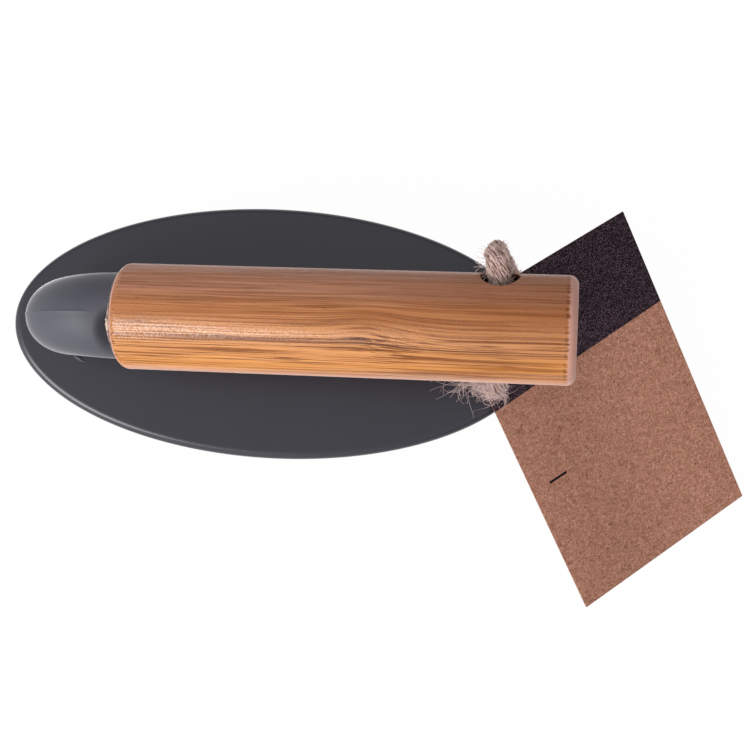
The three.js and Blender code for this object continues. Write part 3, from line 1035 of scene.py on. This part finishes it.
def bambooFinish():
    cane = Finish("oiledBamboo", {
        "Coat Roughness": 0.24, "Coat IOR": 1.6, "Specular IOR Level": 0.1,
        "Sheen Weight": 1.0, "Sheen Roughness": 0.17, "Sheen Tint": (1.0, 0.9, 0.92, 1),
    })
    along, across, up = cane.split(cane.place(handle["start"], handleTurn))
    # the two halves carry painted light: the lower half lit brighter, the upper half greyed by a painted
    # reflection
    lowHalf = cane.ramp(across, 0.0, -6.0)
    highHalf = cane.ramp(across, 1.0, 7.0)
    # the grain runs along the handle and bends round the node
    swirl = near(along, *bamboo["nodeAlong"]) * near(across, *bamboo["nodeAcross"])
    drop = cane.ramp(along, *bamboo["dropSpan"]) * near(across, *bamboo["dropAcross"])
    slow = along * bamboo["grainLength"]
    sway = cane.noise(cane.gather(slow, across * 0.06, up * 0.06), 1.0, 1) * 1.4
    bent = across + drop * 1.6 - swirl + sway
    grainSpot = cane.gather(slow, bent, up)

    def grain(lengthwise, round, detail=1, roughness=0.5):
        return cane.noise(cane.stretch(grainSpot, lengthwise, round, round), 1.0, detail, roughness)

    broad = grain(1, 0.22, 2)
    streak = grain(0.9, 1.3, 3, 0.6)
    fibre = grain(2.0, 2.6, 3, 0.7)
    fleck = cane.noise(cane.gather(along * 2.4, bent * 1.7, up * 1.7), 1.0, 3, 0.7)
    seen = cane.noise(cane.gather(along * 0.022, bent * 0.35, up * 0.35), 1.0, 2)
    vein = cane.ramp(abs(grain(1.2, 1.5) - 0.5), 0.034, 0.0) * cane.ramp(seen, 0.42, 0.60)
    hair = cane.ramp(abs(grain(0.8, 2.3) - 0.5), 0.045, 0.0)
    pore = cane.ramp(grain(26, 4.6), 0.68, 0.78)
    band = near(bent - sway, *bamboo["bandAcross"]) * cane.ramp(along, *bamboo["bandSpan"])
    eye = near(along, *bamboo["eyeAlong"]) * near(across, *bamboo["eyeAcross"])
    # a painted sheen along the flanks, the ends, and painted shade inside the hole
    flankSheen = cane.ramp(across, *bamboo["lowFlankSheenSpan"]) * 0.44
    flankSheen = flankSheen + cane.ramp(across, *bamboo["highFlankSheenSpan"]) * 0.3
    ragged = (fibre - 0.5) * 1.2 + (streak - 0.5) * 1.0
    tip = bamboo["tip"]
    ends = cane.ramp(along + ragged, tip + 0.1, tip + 0.6) + cane.ramp(along + ragged * 0.3, 1.2, 0.5)
    burr = cane.ramp(abs(along + ragged - tip + 0.3), 0.55, 0.1) * cane.ramp(streak, 0.56, 0.40)
    skin = bamboo["outer"] ** 2
    # painted shade inside the cross hole
    boreShade = cane.ramp(across * across + up * up, skin - 3, skin - 14)
    boreShade = boreShade * cane.ramp(abs(along - bamboo["boreMiddle"]), *bamboo["boreSpan"])
    colour = cane.layer(
        bamboo, "honey",
        # painted light on the lower half, painted reflection on the upper half
        (highHalf, "reflectedRose"),
        (lowHalf, "litGold"),
        (cane.ramp(broad, 0.62, 0.36) * 0.22, "deep"),
        (cane.ramp(fibre, 0.52, 0.68) * 0.35, "straw"),
        (cane.ramp(streak, 0.50, 0.40) * (0.28 + 0.50 * lowHalf), "deep"),
        (cane.ramp(fibre, 0.48, 0.39) * (0.44 + 0.46 * lowHalf), "deep"),
        (cane.ramp(broad, 0.48, 0.60) * lowHalf * 0.4, "amber"),
        (hair * 0.3, "deep"),
        (vein * (0.40 + 0.45 * lowHalf), "line"),
        ((band + eye * 0.7) * cane.ramp(fibre + streak * 0.5, 0.82, 0.66) * 0.85, "line"),
        (pore * 0.5, "line"),
        (cane.ramp(along, *bamboo["duskSpan"]) * (0.34 - 0.14 * lowHalf), "deep"),
        # painted sheen along both flanks
        (flankSheen * (0.5 + streak), "flankSheen"),
        (burr * 0.6, "line"),
        (ends * 0.85, "endGrain"),
        (boreShade * 0.95, "inside"),
    )
    polish = 0.12 + 0.88 * near(across, *bamboo["glossAcross"])
    gloss = polish * (0.24 + 0.76 * cane.ramp(fleck + (fibre - 0.5) * 0.3, 0.40, 0.62))
    return cane.dress(
        colour=colour,
        roughness=0.42 + 0.16 * fibre + 0.2 * ends,
        coat=gloss * (1.0 - 0.9 * ends),
        normal=cane.bump(fibre * 0.5 + fleck * 0.8 - vein * 0.4, 0.8, 0.00016),
    )


# glue: an uneven bead squeezed out round the collar
glue = {
    "ringRadius": 0.0114,
    "beadRadius": 0.0007,
    "back": 0.0004,
    "lumpTowards": math.radians(-17), "lumpWidth": math.radians(15), "lumpSize": 1.0,
    "lumpFull": 0.8, "lumpRough": 0.5, "lumpFine": 6.3,
    "swell": 0.04,
    "least": 0.05,
    "ripples": [(1.0, 0.06), (4.1, 0.05)],
    "rippleRing": 5, "rippleSeed": 1.7,
    "crumb": 0.25, "crumbSize": 0.0006,
    "sides": 180,
    "beadSides": 14,
    "dull": shade(112, 94, 84), "pale": shade(190, 172, 156),
}


def makeGlue():
    clearPicks()
    bpy.ops.mesh.primitive_torus_add(
        major_radius=glue["ringRadius"], major_segments=glue["sides"],
        minor_radius=glue["beadRadius"], minor_segments=glue["beadSides"],
        location=(-glue["back"], 0, 0), rotation=(0, math.pi / 2, 0),
    )
    piece = settle(bpy.context.object, "glueBead")
    for vert in piece.data.vertices:
        angle = math.atan2(vert.co.y, vert.co.z)
        out = Vector((0, math.sin(angle), math.cos(angle)))
        heart = out * glue["ringRadius"] - Vector((glue["back"], 0, 0))
        seed = Vector((out.z * glue["rippleRing"], out.y * glue["rippleRing"], glue["rippleSeed"]))
        swell = glue["swell"] + sum(high * noise.noise(seed * fine) for fine, high in glue["ripples"])
        fromLump = (angle - glue["lumpTowards"]) / glue["lumpWidth"]
        lump = glue["lumpFull"] + glue["lumpRough"] * noise.noise(seed * glue["lumpFine"])
        swell += glue["lumpSize"] * math.exp(-fromLump * fromLump) * lump
        crumb = 1 + glue["crumb"] * noise.noise(vert.co / glue["crumbSize"])
        vert.co = heart + (vert.co - heart) * max(swell, glue["least"]) * crumb
    return putDown(piece, handlePlace, 80)


def glueFinish():
    paste = Finish("driedGlue", {"Subsurface Weight": 0.15, "Subsurface Scale": 0.001})
    lump = paste.noise(paste.place(), 1.3, 3)
    colour = paste.layer(glue, "dull", (paste.ramp(lump, 0.35, 0.65), "pale"))
    return paste.dress(colour=colour, roughness=0.35 + 0.3 * lump, normal=paste.bump(lump, 0.4, 0.0002))


handOver(makeHandle(), "brush", "bamboo", bambooFinish(), "bamboo_handle")
handOver(makeGlue(), "brush", "glue", glueFinish(), "glue_bead")
print("handle and glue made")


# card: kraft board with a dark printed header and a short plain rule
card = {
    "width": 0.0628,
    "height": 0.0974,
    "thickness": 0.0006,
    "edge": 0.00012,
    "hole": 0.0088, "holeSides": 64,
    "punchLength": 0.01,
    "holeMargin": 0.0100,
    "slope": math.radians(26.3),
    "leanTowards": math.radians(-11.8),
    "spin": math.radians(44),
    "headerBelowHole": -20.0, "headerSkew": 0.025,
    "ruleMiddle": (-22.3, -47.9), "ruleHalf": (3.1, 0.38), "ruleBlur": 0.08,
    "headerBlur": 0.1,
    # painted light: how much brighter the board grows along x
    "paintedLight": 0.35, "paintedLightSpan": (-18.0, 24.0),
    "fibres": [  # where they point, how strong they are, and their tone
        (0.4, 0.75, "kraftDark"), (1.2, 0.60, "kraftPale"),
        (2.0, 0.75, "kraftDark"), (2.8, 0.60, "kraftPale"),
    ],
    "kraft": shade(156, 106, 90), "kraftTan": shade(148, 104, 82), "kraftDark": shade(92, 58, 46),
    "kraftPale": shade(196, 150, 130), "ink": shade(10, 2, 9), "inkWorn": shade(112, 88, 100),
}
cardTurn = (
    Matrix.Rotation(card["leanTowards"], 4, "Z")
    @ Matrix.Rotation(card["slope"], 4, "Y")
    @ Matrix.Rotation(card["spin"], 4, "Z")
)
cardHole = Vector(frame["joints"][0]["pos_m"])


def makeCard():
    clearPicks()
    bpy.ops.mesh.primitive_cube_add(
        size=1,
        location=(0, card["holeMargin"] - card["height"] / 2, 0),
        scale=(card["width"], card["height"], card["thickness"]),
    )
    piece = settle(bpy.context.object, "hangCard")
    editMesh(piece)
    bpy.ops.mesh.select_all(action="SELECT")
    bpy.ops.mesh.bevel(offset=card["edge"], segments=2)
    clearPicks()
    bpy.ops.mesh.primitive_cylinder_add(
        vertices=card["holeSides"], radius=card["hole"] / 2, depth=card["punchLength"]
    )
    cutAway(piece, bpy.context.object)
    return putDown(piece, Matrix.Translation(cardHole) @ cardTurn, 30)


def kraftFinish():
    board = Finish("kraftBoard", {"Specular IOR Level": 0.12})
    spot = board.place(cardHole, cardTurn.to_euler("XYZ"))
    x, y, z = board.split(spot)
    tone = board.noise(spot, 0.35, 3, 0.7)
    pulp = board.noise(spot, 1.5, 3, 0.75)
    fine = board.noise(spot, 3.4, 2)
    coats = [
        (board.ramp(tone, 0.35, 0.65), "kraftTan"),
        (board.ramp(pulp, 0.50, 0.70) * 0.32, "kraftPale"),
        (board.ramp(pulp, 0.50, 0.30) * 0.58, "kraftDark"),
    ]
    for lie, share, tint in card["fibres"]:
        along = x * math.cos(lie) + y * math.sin(lie)
        across = y * math.cos(lie) - x * math.sin(lie)
        fibre = board.noise(board.gather(along * 0.45, across * 1.7, z + lie * 9), 1.0, 1)
        coats.append((board.ramp(abs(fibre - 0.56), 0.034, 0.0) * share, tint))
    # painted light: the board is brightened along x
    paintedLightLevel = 1.0 + card["paintedLight"] * board.ramp(x, *card["paintedLightSpan"])
    colour = board.node("ShaderNodeHueSaturation", None, {
        "Value": paintedLightLevel, "Color": board.layer(card, "kraft", *coats),
    })
    header = y - x * card["headerSkew"] - card["headerBelowHole"]
    header = board.ramp(header, -card["headerBlur"], card["headerBlur"])
    rule = 1.0
    for spot, middle, half in zip((x, y), card["ruleMiddle"], card["ruleHalf"]):
        rule = board.ramp(abs(spot - middle), half + card["ruleBlur"], half - card["ruleBlur"]) * rule
    worn = board.ramp(pulp * 0.35 + fine * 0.65, 0.49, 0.62) * header
    printed = board.ramp(z, 0.0, card["headerBlur"]) * (header + rule)
    colour = board.mix(printed, colour, board.layer(card, "ink", (worn, "inkWorn")))
    roughness = 0.82 - 0.22 * printed + 0.1 * fine
    relief = board.bump(pulp + fine * 0.5, 0.25, 0.00006)
    return board.dress(colour=colour, roughness=roughness, normal=relief)


hangCard = makeCard()
handOver(hangCard, "tag", "kraft_card", kraftFinish(), "hang_tag")
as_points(twineSpots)
print("card hung")


# studio: a white floor, a room that is brighter overhead and on one side, and a soft key light
studio = {
    "floorSize": 6.0, "floorShade": (0.86, 0.86, 0.86, 1), "floorWhite": 0.975,
    "overhead": 0.84, "overheadRise": (0.05, 0.85),
    "allRound": 0.30,
    "brightSide": 1.08, "brightTowards": (-0.75, -0.68), "brightRise": (0.15, 1.0),
    "keyPlace": (-0.40, -0.31, 0.51), "keyAim": (0.01, 0.0, 0.06), "keySize": 0.38, "keyPower": 3.2,
}


def makeFloor():
    clearPicks()
    bpy.ops.mesh.primitive_plane_add(size=studio["floorSize"], location=(0, 0, 0))
    floor = settle(bpy.context.object, "studioFloor")
    paper = Finish("whiteFloor", {"Base Color": studio["floorShade"], "Roughness": 0.9})
    glow = paper.node("ShaderNodeEmission", None, {"Color": (1, 1, 1, 1), "Strength": 1.0})
    both = paper.node("ShaderNodeMixShader", None, {
        0: paper.seenDirectly() * studio["floorWhite"], 1: Wire(paper, paper.shader.outputs[0]), 2: glow,
    })
    paper.feed(paper.tree.nodes["Material Output"].inputs["Surface"], both)
    floor.data.materials.append(paper.material)


def makeKey():
    clearPicks()
    aim = Vector(studio["keyAim"]) - Vector(studio["keyPlace"])
    turn = aim.to_track_quat("-Z", "Y").to_euler()
    bpy.ops.object.light_add(type="AREA", location=studio["keyPlace"], rotation=turn)
    key = bpy.context.object
    key.name = "softKey"
    key.data.size = studio["keySize"]
    key.data.energy = studio["keyPower"]


def makeWorld():
    world = bpy.data.worlds.new("whiteRoom")
    bpy.context.scene.world = world
    room = Nodes(world)
    x, y, z = room.split(room.node("ShaderNodeTexCoord", output="Generated"))
    glow = between(studio["allRound"], studio["overhead"], room.ramp(z, *studio["overheadRise"]))
    towards = x * studio["brightTowards"][0] + y * studio["brightTowards"][1]
    glow = glow + studio["brightSide"] * room.ramp(towards, *studio["brightRise"])
    glow = between(glow, 1.0, room.node("ShaderNodeLightPath", output="Is Camera Ray"))
    back = room.tree.nodes["Background"]
    room.feed(back.inputs["Color"], (1, 1, 1, 1))
    room.feed(back.inputs["Strength"], glow)


makeFloor()
makeKey()
makeWorld()
print("studio lit")
